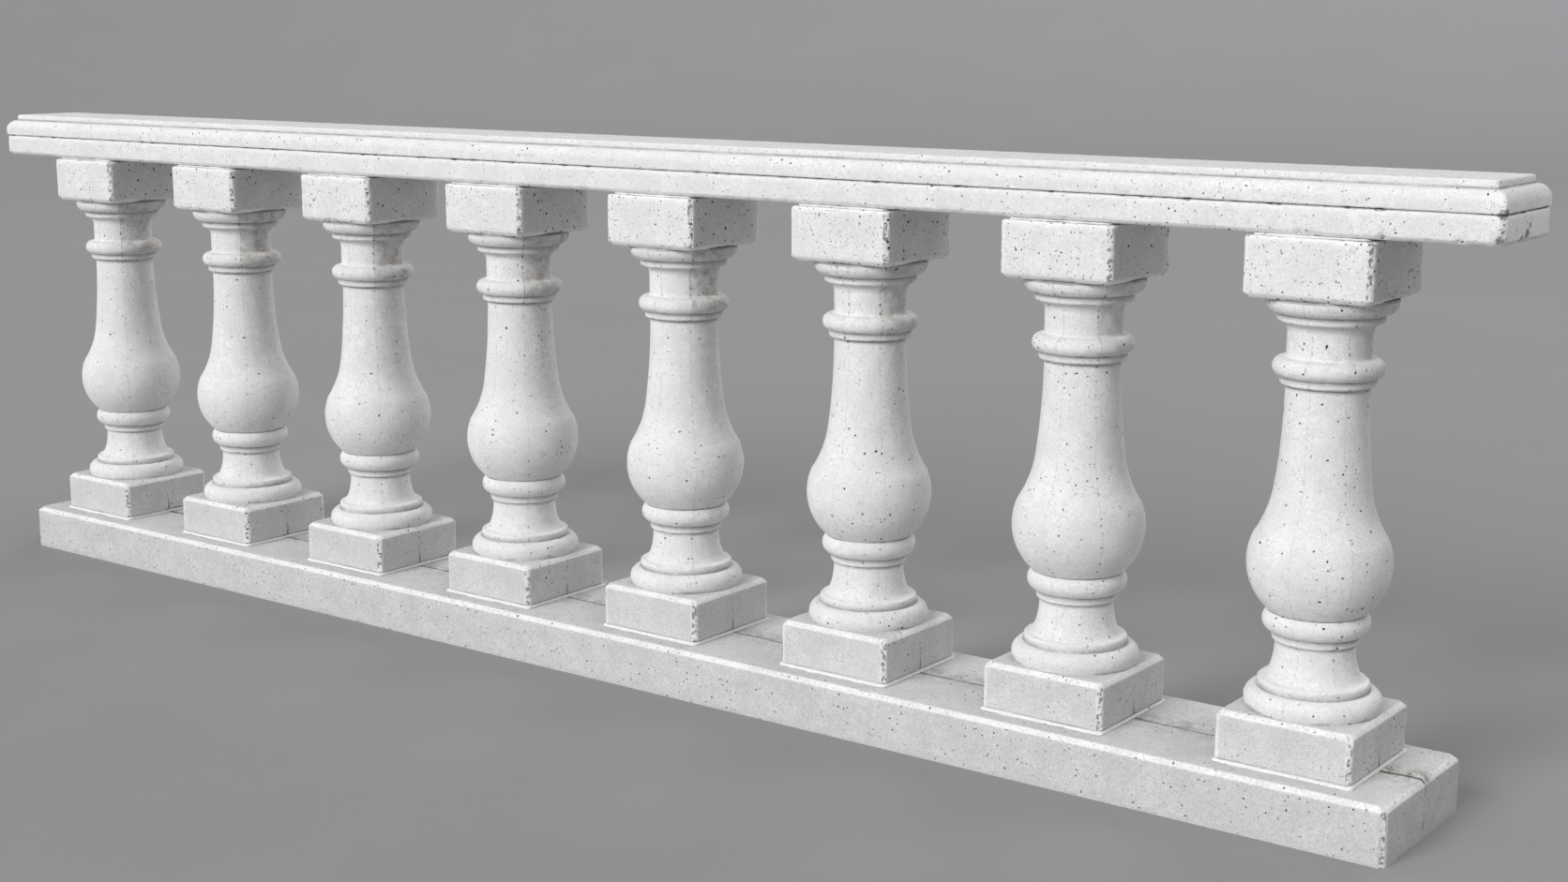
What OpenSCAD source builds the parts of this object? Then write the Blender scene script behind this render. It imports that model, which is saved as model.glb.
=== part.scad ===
// Stone balustrade: a plinth, a row of turned balusters between square blocks, and a moulded coping.
// Millimetres, +Z up, +X along the row. The origin is on the ground under the middle of the plinth.

/* [Row] */
// Number of balusters
baluster_count = 8; // [2:1:12]
// Distance from one baluster's centre to the next
baluster_pitch = 375; // [300:5:600]
// Colour of the stone
stone_colour = "#e2e1df";
// Colour of the bedding mortar
mortar_colour = "#cfcdc9";

/* [Plinth] */
// Height of the plinth
plinth_height = 83; // [50:1:200]
// How far the plinth stands out past the base blocks, front and back
plinth_ledge = 36.5; // [10:0.5:120]
// How far the plinth runs past the last base block
plinth_end_ledge = 66; // [10:1:300]
// Radius of the plinth's arrises
plinth_arris = 8; // [2:0.5:15]

/* [Base blocks] */
// Side of a base block
base_block_side = 200; // [170:1:240]
// Height of a base block
base_block_height = 71; // [40:1:150]
// Radius of the base block's arrises
base_block_arris = 9; // [2:0.5:15]
// Radius of the base block's arrises along its bed
base_block_foot_arris = 3; // [1:0.5:15]

/* [Cap blocks] */
// Side of a cap block
cap_block_side = 181; // [155:1:240]
// Height of a cap block
cap_block_height = 84; // [40:1:150]
// Radius of the cap block's arrises
cap_block_arris = 9; // [2:0.5:15]
// Radius of the cap block's arrises along its top
cap_block_top_arris = 3; // [1:0.5:15]

/* [Mortar] */
// Thickness of the bed under a base block
base_bed = 4; // [2:0.5:10]
// How far the bed under a base block squeezes out past it
base_bed_lip = 3; // [0:0.5:10]
// Thickness of the bed under the coping
coping_bed = 3; // [2:0.5:10]
// How far the bed under the coping is raked back from the coping's face
coping_bed_rake = 6.5; // [3:0.5:15]

/* [Turned base] */
// How far the base ring stays inside the base block's faces
base_ring_inset = 5; // [0:0.5:10]
// Radius of the base ring's rounded edge
base_ring_round = 18; // [15:0.5:22]
// Height of the base ring
base_ring_height = 28.5; // [22:0.5:30]
// How far the lip is set in from the top of the base ring
lip_step = 0; // [0:0.5:6]
// Height of the lip
lip_height = 12.5; // [8:0.5:20]
// Radius of the lip's rounded top edge
lip_round = 4.5; // [1:0.5:8]
// Height of the scotia, the hollow over the lip
scotia_height = 52; // [30:1:70]
// Radius at the narrowest place of the scotia
waist_radius = 55; // [45:0.5:58]

/* [Turned rings] */
// How far the fillet under the lower ring stands out from the waist
low_fillet_step = 5; // [3:0.5:12]
// Height of the fillet under the lower ring
low_fillet_height = 12.5; // [8:0.5:20]
// How far the lower ring stands out from its fillet
low_ring_step = 14; // [6:0.5:20]
// Radius of the lower ring's rounded edge
low_ring_round = 17.5; // [12:0.5:20]
// How far the fillet under the astragal stands out from the shaft
high_fillet_step = 8.2; // [5:0.1:14]
// Height of the fillet under the astragal
high_fillet_height = 11.5; // [8:0.5:20]
// How far the astragal, the ring under the neck, stands out from its fillet
astragal_step = 10.5; // [4:0.5:20]
// Radius of the astragal's rounded edge
astragal_round = 13.5; // [11:0.5:18]
// Radius of the rounded lower edge of the fillets, where a fillet stands out far enough for it
fillet_round = 5; // [1:0.5:7]

/* [Turned belly and shaft] */
// Largest radius of the belly
belly_radius = 98.5; // [85:0.5:110]
// Height of the belly's widest place over the lower ring's top
belly_rise = 64.5; // [50:0.5:80]
// Radius of the belly's outline below its widest place
belly_low_sweep = 90; // [84:1:110]
// Radius of the belly's outline above its widest place
belly_high_sweep = 92; // [80:1:120]
// Height from the belly's widest place to the shoulder
shoulder_rise = 36; // [20:1:60]
// Radius of the shaft at its top
shaft_top_radius = 56.5; // [45:0.1:60]
// Height of the shaft above the shoulder
shaft_height = 209.5; // [150:0.5:320]
// Radius of the slow curve of the upper shaft
shaft_sweep = 1080; // [600:5:2000]
// Angle that the slow curve turns through
shaft_sweep_angle = 7.5; // [3:0.05:10]

/* [Turned neck] */
// Radius of the neck
neck_radius = 57.2; // [45:0.1:60]
// Height of the neck below its top cove
neck_height = 33.5; // [10:0.5:60]
// Radius of the small cove at the foot of the neck
neck_foot_cove = 4; // [1:0.5:4]
// Height of the cove at the top of the neck
neck_cove_height = 14; // [6:0.5:24]
// How far the fillet over the neck stands out from it
neck_fillet_step = 14.8; // [10:0.1:20]
// Height of the fillet over the neck
neck_fillet_height = 12; // [8:0.5:20]
// How far the cushion ring stays inside the cap block's faces
cushion_inset = 1.5; // [0:0.5:6]
// Radius of the cushion ring's rounded edge
cushion_round = 18; // [15.5:0.5:22]
// Height of the cushion ring
cushion_height = 22.5; // [18:0.5:36]

/* [Coping] */
// How far the coping's faces lie inside the cap blocks' faces
coping_set_in = 2.5; // [-40:0.5:5]
// How far the coping runs past the end of the plinth
coping_overhang = 89; // [0:1:150]
// Height of the plain lower course
coping_slab_height = 40; // [25:1:80]
// Radius of the lower course's top arrises
coping_slab_top_arris = 3; // [1:0.5:6]
// Radius of the lower course's other arrises
coping_slab_arris = 7; // [2:0.5:12]
// Radius of the nosing's lower edge, over the groove
nosing_low_round = 3; // [1:0.5:8]
// Height of the nosing's upright face
nosing_face = 9; // [2:0.5:20]
// Radius of the nosing's rounded top
nosing_high_round = 19; // [10:0.5:24]
// How far the fillet over the nosing is set back
top_set_back = 17; // [12:0.5:40]
// Height of the fillet over the nosing
top_fillet_height = 11; // [6:0.5:30]
// Radius of the coping's top arrises
top_arris = 4; // [1:0.5:6]

/* [Hidden] */
$fn = 48;
// Steps in each rounded stretch of a turned or moulded outline
arc_steps = 8;
// The nosing ends this many degrees short of straight up
nosing_end = 10;

balusters = [1:baluster_count];
row_length = (baluster_count - 1) * baluster_pitch;
plinth_depth = base_block_side + 2 * plinth_ledge;
plinth_length = row_length + base_block_side + 2 * plinth_end_ledge;
coping_depth = cap_block_side - 2 * coping_set_in;
coping_length = plinth_length + 2 * coping_overhang;

// Radii of the turned stem that follow from their neighbours
base_ring_radius = base_block_side / 2 - base_ring_inset;
lip_radius = base_ring_radius - base_ring_round - lip_step;
low_fillet_radius = waist_radius + low_fillet_step;
low_ring_radius = low_fillet_radius + low_ring_step;
high_fillet_radius = shaft_top_radius + high_fillet_step;
astragal_radius = high_fillet_radius + astragal_step;
neck_fillet_radius = neck_radius + neck_fillet_step;
cushion_radius = cap_block_side / 2 - cushion_inset;

// Levels, from the ground up
base_block_z = plinth_height + base_bed;
stem_z = base_block_z + base_block_height;

// Levels on the turned stem, from its own foot
lip_z = base_ring_height;
scotia_z = lip_z + lip_height;
low_fillet_z = scotia_z + scotia_height;
low_ring_z = low_fillet_z + low_fillet_height;
low_ring_top = ring_middle(low_ring_z, low_ring_radius, low_ring_round, low_fillet_radius) + low_ring_round;
belly_z = low_ring_top + belly_rise;
shoulder_z = belly_z + shoulder_rise;
high_fillet_z = shoulder_z + shaft_height;
astragal_z = high_fillet_z + high_fillet_height;
neck_z = ring_middle(astragal_z, astragal_radius, astragal_round, high_fillet_radius) + astragal_round;
neck_cove_z = neck_z + neck_height;
neck_fillet_z = neck_cove_z + neck_cove_height;
cushion_z = neck_fillet_z + neck_fillet_height;
stem_height = cushion_z + cushion_height;

cap_block_z = stem_z + stem_height;
coping_bed_z = cap_block_z + cap_block_height;
coping_slab_z = coping_bed_z + coping_bed;
moulding_z = coping_slab_z + coping_slab_height;
nosing_round_z = nosing_low_round + nosing_face;
moulding_height = nosing_round_z + nosing_high_round + top_fillet_height;

function baluster_x(i) = (i - (baluster_count + 1) / 2) * baluster_pitch;

// Points of an arc about [x, z], from one angle to another
function arc(x, z, radius, from, to, steps = arc_steps) =
    [for (k = [0:steps]) let (a = from + (to - from) * k / steps) [x + radius * cos(a), z + radius * sin(a)]];

// How far below level a ring's outline starts, where it leaves the fillet of radius `inner` under it.
// A ring much wider than its fillet has a flat underside in between.
function ring_start(outer, rounding, inner) = acos(max(0, min(1, (inner - outer + rounding) / rounding)));
function ring_middle(z, outer, rounding, inner) = z + rounding * sin(ring_start(outer, rounding, inner));

// Outline of a half-round ring that starts on level z
function ring(z, outer, rounding, inner, to = 90) =
    arc(outer - rounding, ring_middle(z, outer, rounding, inner), rounding,
        -ring_start(outer, rounding, inner), to, 2 * arc_steps);

// The base ring's widest place lies low, so that its foot turns in only a little
function base_ring() =
    let (middle = base_ring_height - base_ring_round)
    arc(base_ring_radius - base_ring_round, middle, base_ring_round,
        -asin(middle / base_ring_round), 90, 2 * arc_steps);

function lip() = concat(
    [[lip_radius, lip_z]],
    arc(lip_radius - lip_round, scotia_z - lip_round, lip_round, 0, 90)
);

// A hollow quarter ellipse, from the lip's edge up to the waist
function scotia() =
    let (run = lip_radius - lip_round - waist_radius)
    [for (k = [1:2 * arc_steps]) let (a = 90 * k / (2 * arc_steps))
        [waist_radius + run * (1 - sin(a)), low_fillet_z - scotia_height * cos(a)]];

// A fillet that stands out to `radius` from one of radius `inner`, with its lower edge rounded
function fillet(inner, radius, z, height) =
    let (rounding = min(fillet_round, radius - inner))
    concat(
        arc(radius - rounding, z + rounding, rounding, -90, 0),
        [[radius, z + height]]
    );

// The lower ring runs up until the belly's outline covers it
low_ring_end = 50;
function belly() =
    let (start_z = belly_z - belly_rise - low_ring_round * (1 - sin(low_ring_end)))
    concat(
        arc(belly_radius - belly_low_sweep, belly_z, belly_low_sweep,
            -asin((belly_z - start_z) / belly_low_sweep), 0, 2 * arc_steps),
        arc(belly_radius - belly_high_sweep, belly_z, belly_high_sweep,
            0, asin(shoulder_rise / belly_high_sweep))
    );

// A slow curve down from the top of the shaft, then a tighter one that meets the shoulder
function shaft() =
    let (
        turn = 180 + shaft_sweep_angle,
        far_x = shaft_top_radius + shaft_sweep,
        join = [far_x + shaft_sweep * cos(turn), high_fillet_z + shaft_sweep * sin(turn)],
        shoulder_radius = belly_radius - belly_high_sweep * (1 - cos(asin(shoulder_rise / belly_high_sweep))),
        chord = [shoulder_radius - join[0], shoulder_z - join[1]],
        chord_angle = atan2(chord[0], -chord[1]),
        flare = norm(chord) / (2 * sin(chord_angle - shaft_sweep_angle)),
        centre = join - flare * [cos(turn), sin(turn)],
        last = turn + 2 * (chord_angle - shaft_sweep_angle)
    )
    concat(
        arc(centre[0], centre[1], flare, last, turn, 2 * arc_steps),
        arc(far_x, high_fillet_z, shaft_sweep, turn, 180)
    );

// The top cove is a quarter ellipse that runs out to the rounded edge of the fillet over it
function neck() =
    let (run = neck_fillet_step - fillet_round)
    concat(
        arc(neck_radius + neck_foot_cove, neck_z + neck_foot_cove, neck_foot_cove, 270, 180),
        [for (k = [0:2 * arc_steps - 1]) let (a = 90 * k / (2 * arc_steps))
            [neck_radius + run * (1 - cos(a)), neck_cove_z + neck_cove_height * sin(a)]],
        fillet(neck_radius, neck_fillet_radius, neck_fillet_z, neck_fillet_height)
    );

// The cap block's underside cuts the cushion ring off before it has turned all the way in
function cushion() =
    let (middle = ring_middle(cushion_z, cushion_radius, cushion_round, neck_fillet_radius))
    ring(cushion_z, cushion_radius, cushion_round, neck_fillet_radius,
        asin(min(1, (stem_height - middle) / cushion_round)));

stem_outline = concat(
    base_ring(), lip(), scotia(),
    fillet(waist_radius, low_fillet_radius, low_fillet_z, low_fillet_height),
    ring(low_ring_z, low_ring_radius, low_ring_round, low_fillet_radius, low_ring_end),
    belly(), shaft(),
    fillet(shaft_top_radius, high_fillet_radius, high_fillet_z, high_fillet_height),
    ring(astragal_z, astragal_radius, astragal_round, high_fillet_radius),
    neck(), cushion()
);

// Half of the moulding's cross-section, as seen along the coping, from the groove up
function moulding_side(half) = concat(
    arc(half - nosing_low_round, nosing_low_round, nosing_low_round, -90, 0),
    arc(half - nosing_high_round, nosing_round_z, nosing_high_round, 0, 90 - nosing_end),
    [[half - top_set_back, nosing_round_z + nosing_high_round * cos(nosing_end)]],
    arc(half - top_set_back - top_arris, moulding_height - top_arris, top_arris, 0, 90)
);

module moulding_section(half) {
    side = moulding_side(half);
    polygon(concat(side, [for (k = [len(side) - 1:-1:0]) [-side[k][0], side[k][1]]]));
}

// Outline of a stone seen square on, with its lower corners rounded by `low` and its upper ones by `high`
module soft_outline(width, height, low, high) {
    polygon(concat(
        low > 0 ? arc(width / 2 - low, low, low, -90, 0) : [[width / 2, 0]],
        high > 0 ? arc(width / 2 - high, height - high, high, 0, 90) : [[width / 2, height]],
        high > 0 ? arc(high - width / 2, height - high, high, 90, 180) : [[-width / 2, height]],
        low > 0 ? arc(low - width / 2, low, low, 180, 270) : [[-width / 2, 0]]
    ));
}

// Extrudes an outline drawn across the row, so that it runs `length` along X
module along_row(length) {
    rotate([90, 0, 90]) translate([0, 0, -length / 2]) linear_extrude(length) children();
}

// Extrudes an outline drawn along the row, so that it runs `depth` along Y
module across_row(depth) {
    rotate([90, 0, 0]) translate([0, 0, -depth / 2]) linear_extrude(depth) children();
}

// A squared stone with rounded arrises, standing on its foot
module stone(length, depth, height, low, high, upright) {
    intersection() {
        across_row(depth) soft_outline(length, height, low, high);
        along_row(length) soft_outline(depth, height, low, high);
        linear_extrude(height) translate([0, -depth / 2]) soft_outline(length, depth, upright, upright);
    }
}

module bed(side, height) {
    translate([-side / 2, -side / 2, 0]) cube([side, side, height]);
}

module plinth() {
    color(stone_colour)
        stone(plinth_length, plinth_depth, plinth_height, 0, plinth_arris, plinth_arris);
}

module plinth_mortar() {
    color(mortar_colour)
        for (i = balusters)
            translate([baluster_x(i), 0, plinth_height])
                bed(base_block_side + 2 * base_bed_lip, base_bed);
}

module base_block(i) {
    color(stone_colour)
        translate([baluster_x(i), 0, base_block_z])
            stone(base_block_side, base_block_side, base_block_height,
                base_block_foot_arris, base_block_arris, base_block_arris);
}

module stem(i) {
    color(stone_colour)
        translate([baluster_x(i), 0, stem_z])
            rotate_extrude()
                polygon(concat([[0, 0]], stem_outline, [[0, stem_height]]));
}

module cap_block(i) {
    color(stone_colour)
        translate([baluster_x(i), 0, cap_block_z])
            stone(cap_block_side, cap_block_side, cap_block_height,
                cap_block_arris, cap_block_top_arris, cap_block_arris);
}

module coping_mortar() {
    color(mortar_colour)
        for (i = balusters)
            translate([baluster_x(i), 0, coping_bed_z])
                bed(coping_depth - 2 * coping_bed_rake, coping_bed);
}

module coping_slab() {
    color(stone_colour)
        translate([0, 0, coping_slab_z])
            stone(coping_length, coping_depth, coping_slab_height,
                coping_slab_arris, coping_slab_top_arris, coping_slab_arris);
}

// The section runs along the row and across it, so the moulding returns round both ends with mitres
module coping_moulding() {
    color(stone_colour)
        translate([0, 0, moulding_z])
            intersection() {
                along_row(coping_length) moulding_section(coping_depth / 2);
                across_row(coping_depth) moulding_section(coping_length / 2);
            }
}

plinth();
plinth_mortar();
for (i = balusters) {
    base_block(i);
    stem(i);
    cap_block(i);
}
coping_mortar();
coping_slab();
coping_moulding();
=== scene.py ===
import math

import bmesh
import bpy
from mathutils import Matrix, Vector


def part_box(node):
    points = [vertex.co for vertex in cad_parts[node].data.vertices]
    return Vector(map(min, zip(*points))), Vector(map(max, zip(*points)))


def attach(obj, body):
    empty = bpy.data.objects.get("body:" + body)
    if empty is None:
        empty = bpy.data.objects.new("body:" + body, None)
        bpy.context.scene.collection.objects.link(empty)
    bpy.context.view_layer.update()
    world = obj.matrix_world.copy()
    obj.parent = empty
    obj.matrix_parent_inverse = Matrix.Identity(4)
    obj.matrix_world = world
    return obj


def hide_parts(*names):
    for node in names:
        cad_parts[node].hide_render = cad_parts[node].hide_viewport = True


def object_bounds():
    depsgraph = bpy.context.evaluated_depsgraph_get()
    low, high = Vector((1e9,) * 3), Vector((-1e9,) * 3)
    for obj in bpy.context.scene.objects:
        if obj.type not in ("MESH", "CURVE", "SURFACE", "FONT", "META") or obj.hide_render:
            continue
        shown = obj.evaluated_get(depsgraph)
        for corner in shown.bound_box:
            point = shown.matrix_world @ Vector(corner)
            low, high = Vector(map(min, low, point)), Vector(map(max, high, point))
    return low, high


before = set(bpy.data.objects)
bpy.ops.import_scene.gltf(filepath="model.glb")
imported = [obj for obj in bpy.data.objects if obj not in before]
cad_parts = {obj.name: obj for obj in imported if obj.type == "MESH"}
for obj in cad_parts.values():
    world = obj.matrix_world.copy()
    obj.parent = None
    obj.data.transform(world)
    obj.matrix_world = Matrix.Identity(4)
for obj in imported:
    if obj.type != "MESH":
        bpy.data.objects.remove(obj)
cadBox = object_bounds()
mm = 0.001
balusterCount = sum(1 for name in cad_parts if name.startswith("stem_"))
print("frame loaded:", len(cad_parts), "nodes,", balusterCount, "balusters")


def middle(node):
    low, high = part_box(node)
    return (low + high) / 2


pitch = middle("stem_2").x - middle("stem_1").x


def deselect():
    if bpy.context.object and bpy.context.object.mode != "OBJECT":
        bpy.ops.object.mode_set(mode="OBJECT")
    bpy.ops.object.select_all(action="DESELECT")


def handle(piece):
    deselect()
    piece.select_set(True)
    bpy.context.view_layer.objects.active = piece


def openEdit(piece):
    handle(piece)
    bpy.ops.object.mode_set(mode="EDIT")


def closeEdit():
    bpy.ops.object.mode_set(mode="OBJECT")


def pick(kind, test):  # in edit mode, selects just the VERT, EDGE or FACE items that pass the test
    bpy.ops.mesh.select_mode(type=kind)
    bpy.ops.mesh.select_all(action="DESELECT")
    mesh = bpy.context.edit_object.data
    live = bmesh.from_edit_mesh(mesh)
    items = {"VERT": live.verts, "EDGE": live.edges, "FACE": live.faces}[kind]
    found = 0
    for item in items:
        if test(item):
            item.select_set(True)
            found += 1
    live.select_flush_mode()
    bmesh.update_edit_mesh(mesh, loop_triangles=False, destructive=False)
    return found


def runsAlong(axis, least):  # a test for edges that lie along X, Y or Z and are longer than least
    def test(edge):
        reach = edge.verts[1].co - edge.verts[0].co
        return reach.length > least and abs(reach[axis]) > 0.95 * reach.length
    return test


def cutLong(axis, stride):  # cuts all the long edges that lie along an axis into strides
    for stage in range(2):  # one subdivide makes at most 100 cuts, so a long stone takes two
        mesh = bmesh.from_edit_mesh(bpy.context.edit_object.data)
        test = runsAlong(axis, 1.9 * stride)
        longest = max((edge.calc_length() for edge in mesh.edges if test(edge)), default=0)
        if not longest:
            return
        parts = longest / stride
        cuts = round(math.sqrt(parts) if stage == 0 and parts > 100 else parts) - 1
        if cuts < 1:
            return
        pick("EDGE", runsAlong(axis, 0.6 * longest if stage == 0 else 1.9 * stride))
        bpy.ops.mesh.subdivide(number_cuts=cuts)


def weigh(piece, group, weightAt):  # a vertex group from a function of place
    made = piece.vertex_groups.new(name=group)
    for vertex in piece.data.vertices:
        weight = weightAt(vertex.co)
        if weight > 0.001:
            made.add([vertex.index], min(1.0, weight), "REPLACE")
    return made


def mark(piece, name, valueAt):  # a number at every point, which a surface can read
    values = [valueAt(vertex.co) for vertex in piece.data.vertices]
    piece.data.attributes.new(name, "FLOAT", "POINT").data.foreach_set("value", values)


def cornersOf(outline, outward):  # for each point of an outline: 1 in a hollow corner, -1 on a sharp edge
    turns = {}
    for before, here, after in zip(outline, outline[1:], outline[2:]):
        run = (here[0] - before[0], here[1] - before[1])
        rise = (after[0] - here[0], after[1] - here[1])
        cross = (run[0] * rise[1] - run[1] * rise[0]) * outward
        turn = math.degrees(math.atan2(cross, run[0] * rise[0] + run[1] * rise[1]))
        turns[here] = 1.0 if turn < -24 else -1.0 if turn > 30 else 0.0
    return turns


def cloudTexture(name, size, start=0.0, full=1.0, depth=2):  # grows from start to full of the noise
    texture = bpy.data.textures.new(name, "CLOUDS")
    texture.noise_scale = size
    texture.noise_depth = depth
    texture.use_color_ramp = True
    stops = texture.color_ramp.elements
    stops[0].position, stops[0].color = start, (0, 0, 0, 1)
    stops[1].position, stops[1].color = full, (1, 1, 1, 1)
    return texture


def displace(piece, texture, strength, still=0.0, group="", direction="NORMAL"):
    handle(piece)
    change = piece.modifiers.new("displace", "DISPLACE")
    change.texture = texture
    change.texture_coords = "LOCAL"
    change.direction = direction
    change.strength = strength
    change.mid_level = still
    change.vertex_group = group
    bpy.ops.object.modifier_apply(modifier=change.name)


def finishPiece(piece, node, surface, sharp=35):
    handle(piece)
    bpy.ops.object.shade_smooth_by_angle(angle=math.radians(sharp))
    piece.data.materials.clear()
    piece.data.materials.append(surface)
    piece.vertex_groups.clear()
    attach(piece, "root")
    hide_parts(node)


class Wire:  # a shader value: arithmetic on it adds Math nodes
    def __init__(self, shop, socket):
        self.shop, self.socket = shop, socket

    def __add__(self, other):
        return self.shop.maths("ADD", self, other)

    def __sub__(self, other):
        return self.shop.maths("SUBTRACT", self, other)

    def __rsub__(self, other):
        return self.shop.maths("SUBTRACT", other, self)

    def __mul__(self, other):
        return self.shop.maths("MULTIPLY", self, other)

    def __truediv__(self, other):
        return self.shop.maths("DIVIDE", self, other)

    def __rtruediv__(self, other):
        return self.shop.maths("DIVIDE", other, self)

    __radd__ = __add__
    __rmul__ = __mul__


class Shop:  # one material and the nodes in it
    def __init__(self, name):
        self.material = bpy.data.materials.new(name)
        self.material.use_nodes = True
        self.tree = self.material.node_tree
        self.tree.nodes.clear()

    def node(self, kind, settings, values):
        made = self.tree.nodes.new(kind)
        for key, value in settings.items():
            setattr(made, key, value)
        for key, value in values.items():
            socket = made.inputs[key]
            if isinstance(value, Wire):
                self.tree.links.new(value.socket, socket)
            else:
                socket.default_value = value
        return made

    def wire(self, node, output=0):
        return Wire(self, node.outputs[output])

    def mark(self, name):  # a number stored at the mesh's points
        return self.wire(self.node("ShaderNodeAttribute", {"attribute_name": name}, {}), "Fac")

    def facing(self):  # the three parts of the direction that the surface faces
        return self.parts(self.wire(self.node("ShaderNodeNewGeometry", {}, {}), "Normal"))

    def gap(self, place, spot):
        values = {0: place, 1: spot}
        return self.wire(self.node("ShaderNodeVectorMath", {"operation": "DISTANCE"}, values), "Value")

    def maths(self, operation, *values):
        return self.wire(self.node("ShaderNodeMath", {"operation": operation}, dict(enumerate(values))))

    def ramp(self, value, start, full, low=0.0, high=1.0):  # soft step from low to high
        values = {"Value": value, "From Min": start, "From Max": full, "To Min": low, "To Max": high}
        return self.wire(self.node("ShaderNodeMapRange", {"interpolation_type": "SMOOTHSTEP"}, values))

    def blend(self, share, first, second):
        values = {0: share, 6: first, 7: second}
        return self.wire(self.node("ShaderNodeMix", {"data_type": "RGBA"}, values), 2)

    def scaled(self, colour, share):  # a colour made lighter or darker
        values = {0: colour, "Scale": share}
        return self.wire(self.node("ShaderNodeVectorMath", {"operation": "SCALE"}, values))

    def moved(self, place, shift):
        return self.wire(self.node("ShaderNodeVectorMath", {"operation": "ADD"}, {0: place, 1: shift}))

    def shifted(self, place, pattern, reach):  # places pushed about by a colour pattern
        values = {0: pattern, 1: (reach, reach, reach), 2: place}
        return self.wire(self.node("ShaderNodeVectorMath", {"operation": "MULTIPLY_ADD"}, values))

    def noise(self, place, size, detail=2.0, roughness=0.5):
        values = {"Vector": place, "Scale": 1 / size, "Detail": detail, "Roughness": roughness}
        return self.wire(self.node("ShaderNodeTexNoise", {}, values))

    def ruffle(self, place, scale):  # three noises at once, to push places about with
        values = {"Vector": place, "Scale": scale, "Detail": 2}
        return self.wire(self.node("ShaderNodeTexNoise", {}, values), "Color")

    def parts(self, place):  # the X, Y and Z of a place or a direction
        axes = self.node("ShaderNodeSeparateXYZ", {}, {0: place})
        return [self.wire(axes, k) for k in range(3)]

    def pits(self, place, cell, radius, share):  # round holes in the cells of a loose lattice
        cells = self.node("ShaderNodeTexVoronoi", {}, {"Vector": place, "Scale": 1 / cell})
        chance = self.node("ShaderNodeSeparateColor", {}, {0: self.wire(cells, "Color")})
        edge = (self.wire(chance, 1) * 0.8 + 0.4) * (radius / cell)
        hole = self.ramp(self.wire(cells, "Distance"), edge, edge * 0.65)
        return hole * self.maths("LESS_THAN", self.wire(chance, 0), share)


stoneFinish = {
    "pale": (0.86, 0.862, 0.87, 1),
    "dull": (0.80, 0.798, 0.798, 1),
    # the pale colour of arrises: partly rubbed stone, partly a painted highlight
    "worn": (0.93, 0.93, 0.935, 1),
    # the dark colour for dirt and chips, also used for painted shade in recesses and hollow corners
    "soil": (0.27, 0.25, 0.225, 1),
    "pit": (0.050, 0.041, 0.033, 1),
    "grainDepth": 0.30 * mm,
    "pitDepth": 1.5 * mm,
    "biteDepth": 1.6 * mm,
    "sand": 0.40,
    "soiling": 1.0,
    "pitting": 1.0,
    "pitSize": 1.0,
}


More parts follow.
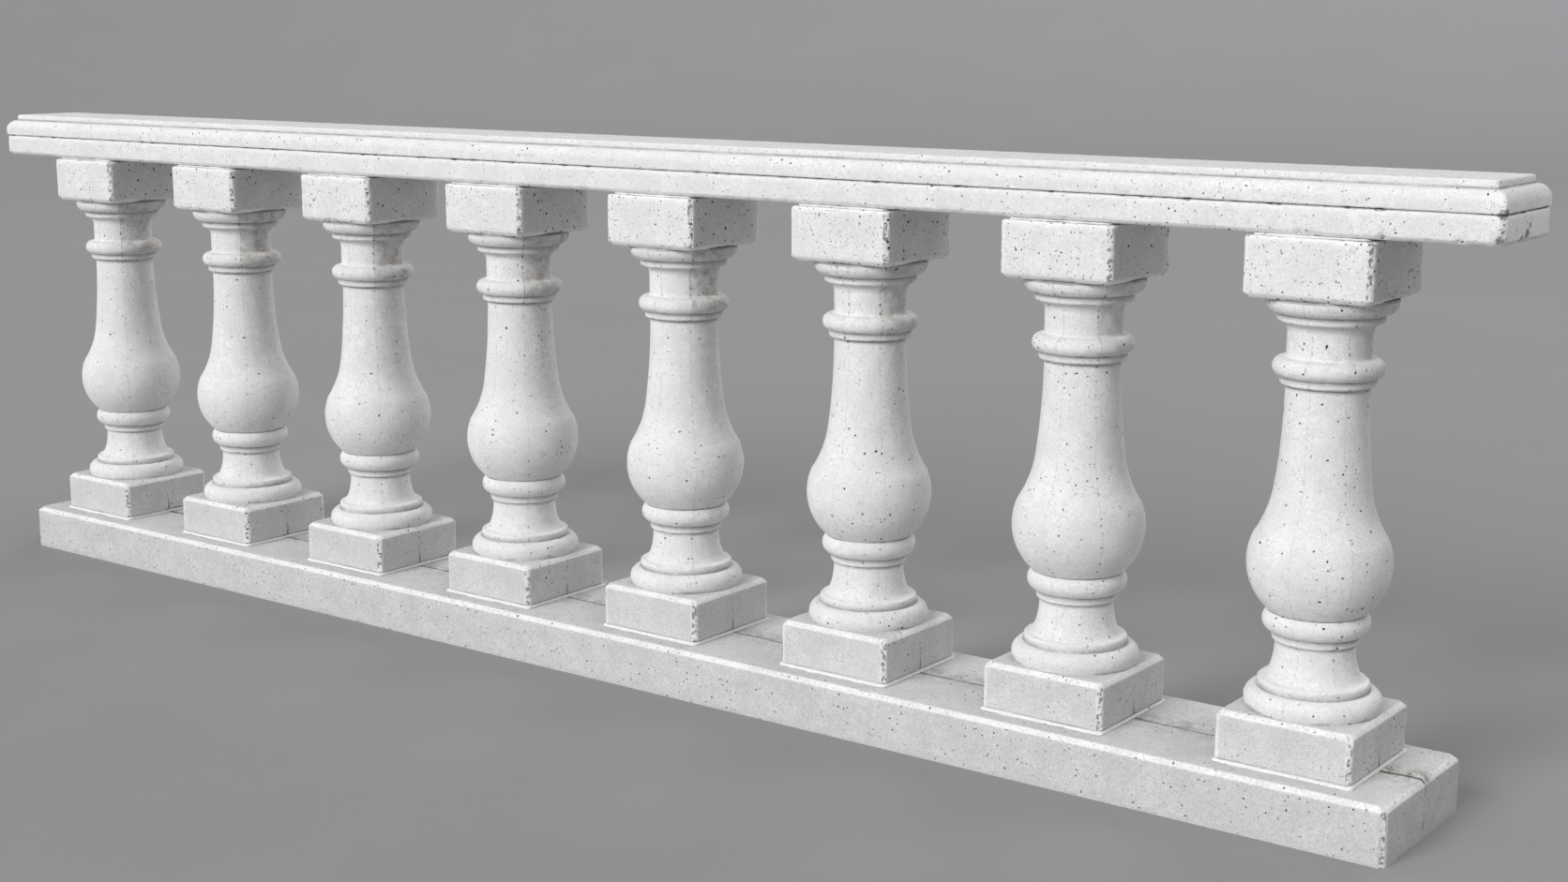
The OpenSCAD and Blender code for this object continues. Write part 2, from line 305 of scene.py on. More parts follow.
def stoneSurface(name, look, marks=None):
    shop = Shop(name)
    place = shop.wire(shop.node("ShaderNodeTexCoord", {}, {}), "Object")
    broad = shop.noise(place, 0.45, 2)
    patch = shop.noise(place, 0.050, 3, 0.6)
    grain = shop.noise(place, 0.0018, 2, 0.7)
    speck = shop.noise(place, 0.0045, 2, 0.6)
    ruffle = shop.ruffle(place, 230)
    bent = shop.shifted(place, ruffle, 4.5 * mm)

    # cast pores: a few large, many small, in loose swarms
    swarm = shop.ramp(patch, 0.38, 0.60, 0.3, 1.0)
    large = shop.pits(bent, 0.0100, 0.0017 * look["pitSize"], 0.50 * look["pitting"])
    large = large * shop.ramp(patch, 0.34, 0.50, 0.25, 1.0)
    small = shop.pits(shop.moved(bent, (3.1, 1.7, 0.6)), 0.0052, 0.0009, 0.40 * look["pitting"]) * swarm
    holes = shop.maths("MAXIMUM", large, small * 0.85)

    # faint wisps, where fine lines cross the skin
    veins = shop.node("ShaderNodeTexVoronoi", {"feature": "DISTANCE_TO_EDGE"}, {
        "Vector": shop.shifted(place, ruffle, 9 * mm), "Scale": 1 / 0.021})
    wisp = shop.ramp(shop.wire(veins), 0.045, 0.012) * shop.ramp(speck + patch * 0.7, 0.84, 0.98)

    sand = shop.noise(place, 0.0032, 3, 0.75)
    tone = 0.95 + broad * 0.06 + (grain - 0.5) * 0.36 + (speck - 0.5) * 0.26 + (sand - 0.5) * look["sand"]
    body = shop.scaled(shop.blend(shop.ramp(patch, 0.38, 0.62), look["dull"], look["pale"]), tone)
    body = shop.blend(wisp * 0.30, body, look["soil"])

    # painted shade, partly like dirt: darker in recesses and under overhangs, where ambient occlusion finds
    # close stone, in patches
    occlusion = shop.node("ShaderNodeAmbientOcclusion", {"samples": 6}, {"Distance": 0.030})
    shadedRecess = shop.ramp(shop.wire(occlusion, "AO"), 0.72, 0.20)
    darkening = shop.ramp(patch + speck * 0.4, 0.56, 0.92)
    body = shop.blend(shadedRecess * darkening * (0.8 * look["soiling"]), body, look["soil"])

    # arrises are paler: partly rubbed clean, partly a painted highlight along sharp edges
    arris = shop.mark("rubbedAndHighlit")
    body = shop.blend(arris * (0.45 + shop.ramp(speck + patch * 0.5, 0.66, 0.80) * 0.4), body, look["worn"])
    # painted shade in the hollow corners of mouldings and rings, and dark joints where stones meet
    hollow = shop.mark("hollow")
    body = shop.blend(hollow * shop.ramp(patch + speck * 0.5, 0.50, 0.86, 0.25, 0.8), body, look["soil"])
    ragged = shop.ramp(shop.noise(place, 0.0060, 2, 0.6), 0.53, 0.60)
    bite = shop.ramp(shop.mark("battered"), 0.25, 0.60) * ragged
    body = shop.blend(bite * 0.85, body, look["soil"])
    depth = holes * look["pitDepth"] + bite * look["biteDepth"]
    if marks:
        body, depth = marks(shop, place, body, depth, look)
    body = shop.blend(holes, body, look["pit"])

    height = (grain * 0.5 + speck * 0.9) * look["grainDepth"] - depth
    bump = shop.node("ShaderNodeBump", {}, {"Strength": 1.0, "Distance": 1.0, "Height": height})
    shader = shop.node("ShaderNodeBsdfPrincipled", {}, {
        "Base Color": body,
        "Roughness": 0.80 + patch * 0.12,
        "IOR": 1.46,
        "Specular IOR Level": 0.30,
        "Normal": shop.wire(bump),
    })
    shop.node("ShaderNodeOutputMaterial", {}, {0: shop.wire(shader)})
    return shop.material


seamWork = {
    "turns": (-40, -91),  # the mould's joints, in degrees from the right
    "width": 1.3 * mm,
    "poreReach": 2.1 * mm,
    "poreDepth": 0.9 * mm,
    "head": (0.60, 0.64),  # above this height the seam is plain, below it faint
    "darkening": (0.47, 0.44, 0.40, 1),
}


def stemMarks(shop, place, body, depth, look):  # two mould seams, with warm grey darkening from the first round the right-hand side
    x, y, z = shop.parts(place)
    across = shop.maths("WRAP", x - middle("stem_1").x, pitch / 2, -pitch / 2)
    turn = shop.maths("ARCTAN2", y, across)
    radius = shop.maths("SQRT", across * across + y * y)
    drift = (shop.noise(place, 0.030, 2) - 0.5) * 0.07
    head = shop.ramp(z, seamWork["head"][0], seamWork["head"][1])
    leftward = shop.ramp(x, pitch * 3.6, pitch * 0.5, 0.35, 1.0)
    upright = shop.node("ShaderNodeCombineXYZ", {}, {"X": shop.maths("FLOOR", x / pitch), "Z": z * 150})
    beads = shop.noise(shop.wire(upright), 1.0, 2)
    for order, degrees in enumerate(seamWork["turns"]):
        off = shop.maths("ABSOLUTE", turn - math.radians(degrees) + drift) * radius
        plain = 0.28 + head * (0.72 - 0.35 * order) * leftward
        line = shop.ramp(off, seamWork["width"], 0.3 * mm) * shop.ramp(beads, 0.40, 0.58) * plain
        rare = 0.03 * order  # the second seam has fewer pores
        pores = shop.ramp(off, seamWork["poreReach"], 1.1 * mm) * shop.ramp(beads, 0.60 + rare, 0.66 + rare)
        pores = pores * (0.65 + head * 0.35)
        body = shop.blend(line, body, look["soil"])
        body = shop.blend(pores * 0.9, body, look["pit"])
        depth = depth + (line * 0.4 + pores) * seamWork["poreDepth"]
    # warm grey darkening from the first seam round the right-hand side, mostly on the neck, strongest on
    # the left-hand stems
    beside = shop.ramp(turn + drift, -0.71, -0.67) * shop.ramp(turn, 0.9, 0.1)
    blot = shop.ramp(shop.noise(place, 0.016, 3, 0.65), 0.42, 0.66)
    body = shop.blend(beside * head * leftward * (0.26 + blot * 0.50), body, seamWork["darkening"])
    body = shop.blend(beside * blot * leftward * shop.ramp(z, 0.58, 0.30, 0.20, 0.0), body, seamWork["darkening"])
    return body, depth


plinthDirt = {
    "near": 10 * mm,
    "far": 56 * mm,  # from the crack out to clean stone
    "strength": 0.92,
    "covered": 0.60,  # how much of it shows between the blocks
    "ahead": 0.45,  # most of it lies behind the crack
}


def plinthMarks(shop, place, body, depth, look):  # the crack, and the dirt that has gathered by it
    x, y, z = shop.parts(place)
    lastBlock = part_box(f"base_block_{balusterCount}")[1].x
    openEnd = shop.ramp(x, lastBlock - 0.02, lastBlock, plinthDirt["covered"], 1.0)
    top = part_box("plinth")[1].z
    onTop = shop.ramp(z, top - 9 * mm, top - 4 * mm)
    nearby = shop.ramp(shop.maths("ABSOLUTE", y), plinthDirt["far"], plinthDirt["near"]) * onTop
    murk = shop.ramp(shop.noise(place, 0.013, 4, 0.70), 0.38, 0.60)
    side = shop.ramp(y, -0.014, 0.004, plinthDirt["ahead"], 1.0)
    body = shop.blend(nearby * murk * openEnd * side * plinthDirt["strength"], body, look["soil"])
    broken = shop.ramp(shop.noise(place, 0.011, 2), 0.40, 0.56)  # down the end the crack comes and goes
    gash = shop.ramp(shop.mark("cracked"), 0.05, 0.50) * openEnd * (onTop + (1 - onTop) * broken * 0.7)
    body = shop.blend(gash * 0.97, body, look["pit"])
    return body, depth


footSplit = {"from": 30 * mm, "full": 8 * mm, "width": 1.5 * mm, "wander": 8 * mm, "depth": 1.5 * mm}


def footMarks(shop, place, body, depth, look):  # a short dark split at the foot of each right-hand face
    x, y, z = shop.parts(place)
    low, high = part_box("base_block_1")
    across = shop.maths("WRAP", x - middle("base_block_1").x, pitch / 2, -pitch / 2)
    half = (high.x - low.x) / 2
    rightFace = shop.ramp(across, half - 4 * mm, half - 2 * mm)
    wander = (shop.noise(place, 0.014, 3) - 0.5) * footSplit["wander"]
    off = shop.maths("ABSOLUTE", y + wander)
    foot = shop.ramp(z, low.z + footSplit["from"], low.z + footSplit["full"])
    split = shop.ramp(off, footSplit["width"], 0.5 * mm) * foot * rightFace
    comesAndGoes = shop.ramp(shop.noise(place, 0.007, 1), 0.52, 0.60)
    trail = shop.ramp(off, 1.6 * mm, 0.7 * mm) * comesAndGoes * rightFace  # a faint line up the face
    body = shop.blend(shop.maths("MAXIMUM", split * 0.85, trail * 0.45), body, look["pit"])
    return body, depth + split * footSplit["depth"]


copingChips = {  # spots on the coping, from its middle and foot, in shares of its box, and their sizes
    "groove": ((0.997, -0.93, 0.50), 8 * mm),
    "foot corner": ((0.998, -0.97, 0.05), 10 * mm),
    "end split": ((1.0, -0.02, 0.13), 7 * mm),
    "end split top": ((1.0, 0.07, 0.27), 4.5 * mm),
    "end chip": ((1.0, -0.22, 0.06), 6 * mm),
    "front chip": ((0.965, -1.0, 0.03), 5 * mm),
    "front flake": ((0.90, -1.0, 0.02), 6 * mm),
    "front nick": ((0.83, -1.0, 0.03), 4 * mm),
    "far corner": ((-0.998, 0.97, 0.06), 9 * mm),
    "far groove": ((-0.997, 0.93, 0.50), 7 * mm),
}


def copingSpots():
    low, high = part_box("coping_slab")[0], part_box("coping_moulding")[1]
    for (along, across, up), size in copingChips.values():
        yield Vector((along * high.x, across * high.y, low.z + up * (high.z - low.z))), size


copingChipsAndLight = {"top": -0.11, "end": 0.12, "chip": 0.85, "chipDepth": 1.5 * mm}


def copingMarks(shop, place, body, depth, look):  # dark chips, painted shade on the top and painted light on the end
    ragged = 5 * mm
    centred = shop.moved(place, (-ragged / 2, -ragged / 2, -ragged / 2))
    bent = shop.shifted(centred, shop.ruffle(place, 260), ragged)
    hurt = 0.0
    for spot, size in copingSpots():
        hurt = shop.maths("MAXIMUM", hurt, shop.ramp(shop.gap(bent, spot), size * 1.10, size * 0.70))
    facing = shop.facing()
    top = shop.ramp(facing[2], 0.80, 0.98)
    end = shop.ramp(facing[0], 0.80, 0.98)
    # painted shade on the upward faces and painted light on the faces that look along +X
    body = shop.scaled(body, 1 + top * copingChipsAndLight["top"] + end * copingChipsAndLight["end"])
    body = shop.blend(hurt * copingChipsAndLight["chip"], body, look["soil"])
    return body, depth + hurt * copingChipsAndLight["chipDepth"]


def capEndShade(shop, place, body, depth, look):  # painted shade: the ends that face the next baluster are a little darker, as if shaded by the coping above
    end = shop.ramp(shop.facing()[0], 0.80, 0.98)
    return shop.scaled(body, 1 - end * 0.11), depth


def stoneLook(**changes):  # the common finish with some of its values changed
    return dict(stoneFinish, **changes)


copingStone = stoneSurface("coping_stone", stoneLook(sand=0.45), copingMarks)
stemStone = stoneSurface("stem_stone", stoneLook(pitting=0.75), stemMarks)
blockStone = stoneSurface("block_stone", stoneLook(pitting=1.8, pitSize=1.35, sand=0.5), capEndShade)
# the foot blocks and the plinth are darker: partly dirtier stone, partly painted shade for the weaker light
# low down
footStone = stoneSurface("foot_stone", stoneLook(
    pale=(0.70, 0.70, 0.705, 1), dull=(0.645, 0.643, 0.64, 1), pitting=1.2, sand=0.65), footMarks)
plinthStone = stoneSurface("plinth_stone", stoneLook(
    pale=(0.68, 0.68, 0.685, 1), dull=(0.62, 0.618, 0.615, 1), pitting=1.2, sand=0.75), plinthMarks)
beddingMortar = stoneSurface("bedding_mortar", stoneLook(
    pale=(0.90, 0.90, 0.905, 1), dull=(0.84, 0.838, 0.83, 1), soiling=0.7, pitting=0.5))
print("surfaces made")


# squared stones are a plan that is extruded up and set in, level by level
wearTextures = {
    "wave": cloudTexture("wave", 0.07),
    "rub": cloudTexture("rub", 0.022, 0.30, 0.80),
    "chip": cloudTexture("chip", 0.011, 0.64, 0.74),
    "nick": cloudTexture("nick", 0.0060, 0.42, 0.66, 1),
}


arrisShape = [(0.0, 0.0), (0.09, 0.22), (0.78, 0.91), (1.0, 1.0)]  # a flat with softened shoulders
holdRing = 1.4 * mm  # keeps a face flat right up to its arris


def levelsBetween(low, high, stride):
    steps = max(1, round((high - low) / stride))
    return [low + (high - low) * k / steps for k in range(1, steps)]


def stoneOutline(height, lowArris, highArris, stride, fringe):  # set-ins and levels, from the foot up
    outline = [(lowArris + fringe, 0.0)]
    if lowArris:
        outline += [(lowArris + holdRing, 0.0)]
        outline += [(inset * lowArris, (1 - rise) * lowArris) for inset, rise in reversed(arrisShape)]
    else:
        outline += [(0.0, 0.0)]
    start, end = lowArris + holdRing, height - highArris - holdRing
    outline += [(0.0, level) for level in [start] + levelsBetween(start, end, stride) + [end]]
    outline += [(inset * highArris, height - highArris + rise * highArris) for inset, rise in arrisShape]
    outline += [(highArris + holdRing, height), (highArris + fringe, height)]
    return outline


def stackStone(name, low, high, outline, cornerRound, stride):
    width, depth = high.x - low.x, high.y - low.y
    centre = Vector(((low.x + high.x) / 2, (low.y + high.y) / 2, low.z))
    deselect()
    bpy.ops.mesh.primitive_plane_add(size=1, location=centre)
    piece = bpy.context.object
    piece.name = name
    bpy.ops.object.transform_apply(location=True)
    openEdit(piece)
    inset, level = outline[0]
    bpy.ops.transform.resize(value=(width - 2 * inset, depth - 2 * inset, 1), center_override=centre)
    if cornerRound:
        bpy.ops.mesh.bevel(
            offset=cornerRound, segments=3, profile=0.33, affect="VERTICES", clamp_overlap=False)
    for nextInset, nextLevel in outline[1:]:
        bpy.ops.mesh.extrude_region_move(
            TRANSFORM_OT_translate={"value": (0, 0, nextLevel - level)})
        wider = (width - 2 * nextInset) / (width - 2 * inset)
        deeper = (depth - 2 * nextInset) / (depth - 2 * inset)
        bpy.ops.transform.resize(value=(wider, deeper, 1), center_override=centre)
        inset, level = nextInset, nextLevel
    cutLong(0, stride)
    cutLong(1, stride)
    bpy.ops.mesh.select_all(action="SELECT")
    bpy.ops.mesh.normals_make_consistent(inside=False)
    closeEdit()
    return piece


def wearStone(piece, low, high, reach, depths, footed=False):
    # arrises wear back most; the weight is how near a place is to two faces at once
    def edgeGap(co):
        gaps = [min(co[k] - low[k], high[k] - co[k]) for k in (0, 1)]
        gaps.append(high.z - co.z if footed else min(co.z - low.z, high.z - co.z))
        return max(0.0, sorted(gaps)[1])

    def arris(co):
        return 1 - min(1.0, edgeGap(co) / reach) ** 1.5

    def upright(co):  # the upright arrises, most of all the front one on the right
        gaps = [min(co[k] - low[k], high[k] - co[k]) for k in (0, 1)]
        share = 1.0 if co.x > (low.x + high.x) / 2 and co.y < (low.y + high.y) / 2 else 0.4
        return share * (1 - min(1.0, max(0.0, max(gaps) / reach)))
    weigh(piece, "arris", arris)
    weigh(piece, "upright", upright)
    mark(piece, "rubbedAndHighlit", lambda co: 1.0 if edgeGap(co) < 0.72 * reach else 0.0)
    mark(piece, "battered", upright)
    displace(piece, wearTextures["wave"], depths["wave"], 1.0, "arris")
    displace(piece, wearTextures["rub"], -depths["rub"], 0.0, "arris")
    displace(piece, wearTextures["chip"], -depths["chip"], 0.0, "arris")
    displace(piece, wearTextures["nick"], -depths["nick"], 0.0, "upright")


def dent(piece, spots):  # pushes the nearest point of each spot in, and its neighbours with it
    for spot, push, size in spots:
        openEdit(piece)
        nearest = min(piece.data.vertices, key=lambda vertex: (vertex.co - spot).length_squared).index
        pick("VERT", lambda vertex: vertex.index == nearest)
        bpy.ops.transform.translate(value=push, use_proportional_edit=True, proportional_size=size,
                                    proportional_edit_falloff="SHARP")
        closeEdit()


def copyTo(master, name, shift):
    piece = master.copy()
    piece.data = master.data.copy()
    piece.name = name
    bpy.context.scene.collection.objects.link(piece)
    openEdit(piece)
    bpy.ops.mesh.select_all(action="SELECT")
    bpy.ops.transform.translate(value=shift)
    closeEdit()
    return piece


blockWork = {
    "stride": 3.8 * mm,
    "rise": 4.5 * mm,
    "fringe": 6 * mm,
    "arris": 8 * mm,
    "bedArris": 3 * mm,
    "corner": 5.5 * mm,
    "reach": 11 * mm,
    "wear": {"wave": 0.7 * mm, "rub": 0.5 * mm, "chip": 2.6 * mm, "nick": 2.6 * mm},
}


def makeBlocks(kind, footArris, headArris, surface):
    work = blockWork
    low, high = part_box(kind + "_1")
    outline = stoneOutline(high.z - low.z, footArris, headArris, work["rise"], work["fringe"])
    master = stackStone(kind + "_master", low, high, outline, work["corner"], work["stride"])
    for number in range(1, balusterCount + 1):
        node = f"{kind}_{number}"
        shift = middle(node) - middle(kind + "_1")
        block = copyTo(master, "worn_" + node, shift)
        wearStone(block, low + shift, high + shift, work["reach"], work["wear"], footArris < headArris)
        finishPiece(block, node, surface)
    bpy.data.objects.remove(master)
    print(kind, "made:", balusterCount, "of", len(block.data.polygons), "faces")


makeBlocks("base_block", blockWork["bedArris"], blockWork["arris"], footStone)
makeBlocks("cap_block", blockWork["arris"], blockWork["bedArris"], blockStone)


plinthWork = {
    "stride": 5.6 * mm,
    "fringe": 8 * mm,
    "arris": 8 * mm,
    "reach": 11 * mm,
    "wear": {"wave": 0.6 * mm, "rub": 0.7 * mm, "chip": 2.6 * mm, "nick": 1.8 * mm},
    "crackWidth": 1.9 * mm,
    "crackDepth": 5.0 * mm,
    "crackWander": 16 * mm,
    "crackFoot": 12 * mm,  # the crack stops this far up the ends
    "crackCuts": 22,  # cuts, made twice, that give the crack its points
}


def makePlinth():
    work = plinthWork
    low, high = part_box("plinth")
    outline = stoneOutline(high.z - low.z, 0, work["arris"], work["stride"], work["fringe"])
    piece = stackStone("worn_plinth", low, high, outline, work["arris"], work["stride"])

    # the crack: a cut from end to end along the top, opened and pushed in
    openEdit(piece)
    bpy.ops.mesh.select_all(action="SELECT")
    bpy.ops.mesh.bisect(plane_co=(0, 0, 0), plane_no=(0, 1, 0))

    def onCut(co):
        return abs(co.y) < 1e-5 and co.z > low.z + work["crackFoot"]

    def cutEdge(edge):
        return all(onCut(vertex.co) for vertex in edge.verts)
    for stage in range(2):
        pick("EDGE", lambda edge: cutEdge(edge) and edge.calc_length() > 2 * work["stride"])
        bpy.ops.mesh.subdivide(number_cuts=work["crackCuts"])
    pick("EDGE", cutEdge)
    bpy.ops.mesh.bevel(offset=work["crackWidth"], segments=2, profile=0.5, clamp_overlap=True)
    pick("VERT", lambda vertex: onCut(vertex.co) and vertex.co.z > high.z - 1e-4)
    bpy.ops.transform.translate(value=(0, 0, -work["crackDepth"]))
    closeEdit()

    def inCrack(co):
        return 1.0 if abs(co.y) < 1.5 * work["crackWidth"] and co.z > low.z + work["crackFoot"] else 0.0

    def cracked(co):
        lips = abs(co.y) < 1.2 * work["crackWidth"] and co.z > high.z - 2 * mm
        return 1.0 if onCut(co) else 0.35 if lips else 0.0
    weigh(piece, "crack", inCrack)
    mark(piece, "cracked", cracked)
    displace(piece, cloudTexture("wander", 0.12, depth=4), work["crackWander"], 0.5, "crack", "Y")
    wearStone(piece, low, high, work["reach"], work["wear"], footed=True)
    finishPiece(piece, "plinth", plinthStone)
    print("plinth made:", len(piece.data.polygons), "faces")


makePlinth()


copingWork = {
    "stride": 6 * mm,
    "mouldingStride": 7.5 * mm,
    "mouldingRise": 4 * mm,
    "mouldingCorner": 2.4 * mm,
    "fringe": 7 * mm,
    "slabArris": 7 * mm,
    "slabTopArris": 3 * mm,
    "reach": 11 * mm,
    "wear": {"wave": 0.5 * mm, "rub": 0.5 * mm, "chip": 2.0 * mm, "nick": 1.4 * mm},
}


def makeCopingSlab():
    work = copingWork
    low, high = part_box("coping_slab")
    arris, topArris = work["slabArris"], work["slabTopArris"]
    outline = stoneOutline(high.z - low.z, arris, topArris, work["stride"], work["fringe"])
    piece = stackStone("worn_coping_slab", low, high, outline, arris, work["stride"])
    mark(piece, "hollow", lambda co: 1.0 if co.z > high.z - 0.6 * mm else 0.0)
    wearStone(piece, low, high, work["reach"], work["wear"])
    dents = []
    for spot, size in copingSpots():
        if spot.z < high.z:
            inward = -0.5 * size if spot.x > 0 else 0.5 * size
            dents.append((spot, (inward, -spot.y * 4 * mm / high.y, 0.25 * size), 2 * size))
    dent(piece, dents)
    finishPiece(piece, "coping_slab", copingStone)
    print("coping slab made:", len(piece.data.polygons), "faces")


makeCopingSlab()


def mouldingOutline(node):  # set-ins and levels of the moulding, read at its front corners
    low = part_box(node)[0]
    spots = {}
    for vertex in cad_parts[node].data.vertices:
        inset, level = vertex.co.y - low.y, vertex.co.z - low.z
        if vertex.co.y < 0 and abs(vertex.co.x - low.x - inset) < 0.1 * mm:
            spots[(round(level, 5), round(inset, 5))] = (inset, level)
    return [spots[key] for key in sorted(spots)]


def refined(outline, stride):  # more points where the outline has long straight stretches
    fine = [outline[0]]
    for point in outline[1:]:
        last = fine[-1]
        parts = max(1, round(math.dist(last, point) / stride))
        for n in range(1, parts + 1):
            fine.append(tuple(last[k] + (point[k] - last[k]) * n / parts for k in (0, 1)))
    return fine


def makeMoulding():
    work = copingWork
    low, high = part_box("coping_moulding")
    outline = mouldingOutline("coping_moulding")
    corners = {round(low.z + point[1], 5): turn for point, turn in cornersOf(outline, -1).items() if turn}
    print("moulding outline:", len(outline), "points")
    foot, top = outline[0], outline[-1]
    ends = [(inset + work["fringe"], level) for inset, level in (foot, top)]
    outline = [ends[0]] + refined(outline, work["mouldingRise"]) + [ends[1]]
    piece = stackStone(
        "worn_coping_moulding", low, high, outline, work["mouldingCorner"], work["mouldingStride"])
    setBack = top[0]

    def arris(co):  # the nosing, the top arris and the corners
        along = min(co.x - low.x, high.x - co.x)
        across = min(co.y - low.y, high.y - co.y)
        nose = max(0.0, 1 - min(along, across) / (6 * mm))
        lip = max(0.0, 1 - abs(min(along, across) - setBack) / (5 * mm)) * (co.z > high.z - 9 * mm)
        return max(0.7 * nose, lip)
    weigh(piece, "arris", arris)

    def cornerAt(co, wanted):
        return 1.0 if corners.get(round(co.z, 5)) == wanted else 0.0
    # the hollow corners take painted shade and the foot a dark joint; the sharp corners are paler, partly
    # wear and partly painted highlight
    mark(piece, "hollow", lambda co: max(cornerAt(co, 1.0), 1.0 if co.z < low.z + 0.6 * mm else 0.0))
    mark(piece, "rubbedAndHighlit", lambda co: cornerAt(co, -1.0))
    for kind, still in (("wave", 1.0), ("rub", 0.0), ("chip", 0.0)):
        depth = work["wear"][kind]
        displace(piece, wearTextures[kind], depth if still else -depth, still, "arris")
    finishPiece(piece, "coping_moulding", copingStone)
    print("coping moulding made:", len(piece.data.polygons), "faces")


makeMoulding()


stemWork = {
    "turns": 76,
    "stride": 6 * mm,
    "wear": {"wave": 0.9 * mm, "chip": 1.2 * mm},
}


def turnedOutline(node):  # radii and levels of a turned stem, read off its rings
    centre = middle(node)
    levels = {}
    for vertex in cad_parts[node].data.vertices:
        radius = math.hypot(vertex.co.x - centre.x, vertex.co.y - centre.y)
        if radius > 5 * mm:
            levels.setdefault(round(vertex.co.z, 5), []).append(radius)
    outline = []
    for level in sorted(levels):
        inner, outer = min(levels[level]), max(levels[level])
        here = [inner, outer] if outer - inner > 0.4 * mm else [(inner + outer) / 2]  # a step has two
        if outline and abs(here[-1] - outline[-1][0]) < abs(here[0] - outline[-1][0]):
            here.reverse()
        outline += [(radius, level) for radius in here]
    return outline


def makeStems():
    work = stemWork
    centre = middle("stem_1")
    outline = refined(turnedOutline("stem_1"), work["stride"])
    foot, top = outline[0][1], outline[-1][1]
    deselect()
    bpy.ops.mesh.primitive_plane_add(size=0.01, location=(centre.x, centre.y, foot))
    master = bpy.context.object
    master.name = "stem_master"
    bpy.ops.object.transform_apply(location=True)
    openEdit(master)
    bpy.ops.mesh.select_mode(type="VERT")
    bpy.ops.mesh.select_all(action="SELECT")
    bpy.ops.mesh.merge(type="CENTER")
    radius, level = 0.0, foot
    for nextRadius, nextLevel in outline + [(0.0, top)]:
        bpy.ops.mesh.extrude_region_move(
            TRANSFORM_OT_translate={"value": (nextRadius - radius, 0, nextLevel - level)})
        radius, level = nextRadius, nextLevel
    bpy.ops.mesh.select_all(action="SELECT")
    axis = (centre.x, centre.y, 0)
    bpy.ops.mesh.spin(steps=work["turns"], angle=2 * math.pi, center=axis, axis=(0, 0, 1))
    bpy.ops.mesh.select_all(action="SELECT")
    bpy.ops.mesh.remove_doubles(threshold=0.02 * mm)
    bpy.ops.mesh.normals_make_consistent(inside=False)
    closeEdit()
    corners = {}
    for point, turn in cornersOf(outline, 1).items():
        corners.setdefault(round(point[1], 5), []).append((point[0], turn))

    def cornerAt(co, wanted):
        radius = math.hypot(co.x - centre.x, co.y - centre.y)
        here = [turn for reach, turn in corners.get(round(co.z, 5), []) if abs(reach - radius) < 0.3 * mm]
        return 1.0 if wanted in here else 0.0
    # the hollow corners between the rings take painted shade and the top a dark joint under the cap block;
    # the sharp ring edges are paler, partly wear and partly painted highlight
    mark(master, "hollow", lambda co: 1.0 if co.z > top - 2 * mm else cornerAt(co, 1.0))
    mark(master, "rubbedAndHighlit", lambda co: cornerAt(co, -1.0))
    print("stem outline:", len(outline), "points")
    for number in range(1, balusterCount + 1):
        node = f"stem_{number}"
        stem = copyTo(master, "worn_" + node, middle(node) - centre)
        weigh(stem, "skin", lambda co: 1.0 if foot + 3 * mm < co.z < top - 3 * mm else 0.0)
        displace(stem, wearTextures["wave"], work["wear"]["wave"], 1.0, "skin")
        displace(stem, wearTextures["chip"], -work["wear"]["chip"], 0.0, "skin")
        finishPiece(stem, node, stemStone)
    bpy.data.objects.remove(master)
    print("stems made:", balusterCount, "of", len(stem.data.polygons), "faces")


makeStems()


mortarWork = {
    "stride": 7 * mm,
    # the beads' outlines: set-ins in mm, and levels in pad heights
    "bead": [(0.3, 0.0), (0.0, 0.45), (0.6, 0.8), (1.6, 1.05), (3.2, 1.2)],
    "joint": [(0.0, 0.0), (0.0, 1.0)],
    "jointStride": 14 * mm,
    "lipOut": 3 * mm,
    "jointIn": 9 * mm,
    "corner": 5 * mm,
    "loss": 1.0 * mm,
}


def makeMortar(node, above, lipOut, bead, stride):
    low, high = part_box(node)
    aboveLow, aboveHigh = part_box(above + "_1")
    half = (aboveHigh.x - aboveLow.x) / 2 + lipOut
    height = high.z - low.z
    pads = []
    for number in range(1, balusterCount + 1):
        centre = middle(f"{above}_{number}")
        corner = Vector((half, half, 0))
        padLow = Vector((centre.x, centre.y, low.z)) - corner
        padHigh = Vector((centre.x, centre.y, high.z)) + corner
        outline = [(4 * mm, 0.0)] + [(inset * mm, level * height) for inset, level in bead]
        outline += [(outline[-1][0] + 3 * mm, outline[-1][1])]
        pad = stackStone(f"{node}_{number}", padLow, padHigh, outline, mortarWork["corner"], stride)

        def rim(co):
            return 1.0 if half - max(abs(co.x - centre.x), abs(co.y - centre.y)) < 3.5 * mm else 0.0
        weigh(pad, "rim", rim)
        displace(pad, wearTextures["rub"], -mortarWork["loss"], 0.0, "rim")
        pads.append(pad)
    handle(pads[0])
    for pad in pads:
        pad.select_set(True)
    bpy.ops.object.join()
    pads[0].name = "worn_" + node
    finishPiece(pads[0], node, beddingMortar)
    print(node, "made:", len(pads[0].data.polygons), "faces")


makeMortar("plinth_mortar", "base_block", mortarWork["lipOut"], mortarWork["bead"], mortarWork["stride"])
makeMortar(
    "coping_mortar", "cap_block", -mortarWork["jointIn"], mortarWork["joint"], mortarWork["jointStride"])


# the floor: a pale disc whose rim turns up far from the stone, so no horizon shows
floorWork = {
    "radius": 13.0,
    "turnUp": 7.0,
    "sweep": 76,
    "rings": 12,
    "colour": (0.31, 0.31, 0.32),
    "roughness": 0.9,
}


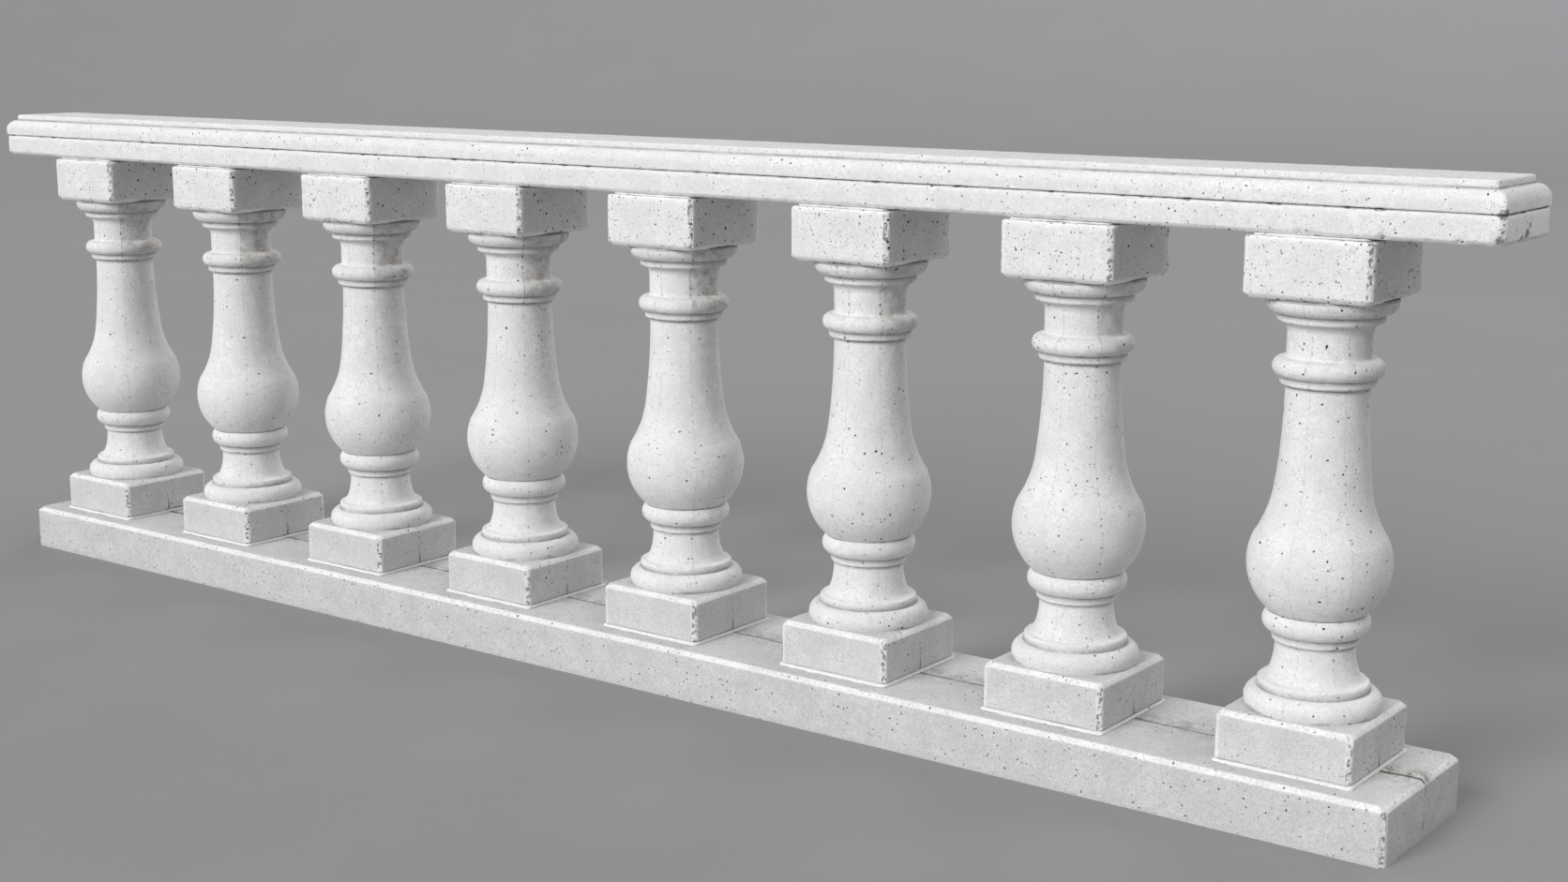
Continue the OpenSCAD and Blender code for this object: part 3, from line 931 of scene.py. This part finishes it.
def makeFloor():
    work = floorWork
    shop = Shop("studio_floor")
    place = shop.wire(shop.node("ShaderNodeTexCoord", {}, {}), "Object")
    tone = 0.97 + shop.noise(place, 0.8, 3) * 0.06
    shader = shop.node("ShaderNodeBsdfPrincipled", {}, {
        "Base Color": shop.scaled(work["colour"], tone),
        "Roughness": work["roughness"],
        "Specular IOR Level": 0.2,
    })
    shop.node("ShaderNodeOutputMaterial", {}, {0: shop.wire(shader)})
    level = cadBox[0].z
    deselect()
    bpy.ops.mesh.primitive_circle_add(vertices=128, radius=work["radius"], location=(0, 0, level))
    floor = bpy.context.object
    floor.name = "studio_floor"
    bpy.ops.object.transform_apply(location=True)
    openEdit(floor)
    reach, height = work["radius"], 0.0
    for step in range(1, work["rings"] + 1):
        turn = math.radians(work["sweep"]) * step / work["rings"]
        nextReach = work["radius"] + work["turnUp"] * math.sin(turn)
        nextHeight = work["turnUp"] * (1 - math.cos(turn))
        pick("VERT", lambda vertex: vertex.co.to_2d().length > reach - 0.01)
        bpy.ops.mesh.extrude_region_move(TRANSFORM_OT_translate={"value": (0, 0, nextHeight - height)})
        grow = nextReach / reach
        bpy.ops.transform.resize(value=(grow, grow, 1), center_override=(0, 0, level))
        reach, height = nextReach, nextHeight
    pick("VERT", lambda vertex: vertex.co.to_2d().length < work["radius"] + 0.01)
    bpy.ops.mesh.edge_face_add()
    bpy.ops.mesh.select_all(action="SELECT")
    bpy.ops.mesh.normals_make_consistent(inside=True)
    closeEdit()
    bpy.ops.object.shade_smooth_by_angle(angle=math.radians(30))
    floor.data.materials.append(shop.material)


# broad soft lamps and an even sky
lampSet = {
    "key": {"from": (-0.12, -0.88, 0.46), "softness": 30, "power": 2.60, "colour": (0.985, 0.99, 1.0)},
    "side": {"from": (-0.85, -0.20, 0.42), "softness": 60, "power": 0.48, "colour": (1.0, 1.0, 1.0)},
    "top": {"from": (0.55, 0.10, 0.80), "softness": 50, "power": 0.74, "colour": (1.0, 1.0, 1.0)},
    "rim": {"from": (0.04, 0.86, 0.50), "softness": 50, "power": 1.05, "colour": (1.0, 0.985, 0.965)},
}
skyLight = {"colour": (1.0, 0.985, 0.97, 1), "strength": 0.15}


def makeLights():
    for name, lampWork in lampSet.items():
        source = Vector(lampWork["from"]).normalized()
        bpy.ops.object.light_add(type="SUN", location=source * 6)
        lamp = bpy.context.object
        lamp.name = "lamp_" + name
        lamp.data.angle = math.radians(lampWork["softness"])
        lamp.data.energy = lampWork["power"]
        lamp.data.color = lampWork["colour"]
        lamp.rotation_euler = source.to_track_quat("Z", "Y").to_euler()
    world = bpy.data.worlds.new("studio")
    world.use_nodes = True
    sky = world.node_tree.nodes["Background"]
    sky.inputs["Color"].default_value = skyLight["colour"]
    sky.inputs["Strength"].default_value = skyLight["strength"]
    bpy.context.scene.world = world


cameraView = {"place": (2.454, -2.730, 1.091), "turn": 37.03, "tilt": 11.06, "lens": 49.52}


def makeCamera():
    bpy.ops.object.camera_add(location=cameraView["place"])
    camera = bpy.context.object
    camera.rotation_euler = (math.radians(90 - cameraView["tilt"]), 0, math.radians(cameraView["turn"]))
    camera.data.sensor_width = 36
    camera.data.lens = cameraView["lens"]
    camera.data.dof.use_dof = False
    bpy.context.scene.camera = camera
    bpy.context.scene.view_settings.view_transform = "Standard"


makeFloor()
makeLights()
makeCamera()
print("stage set")
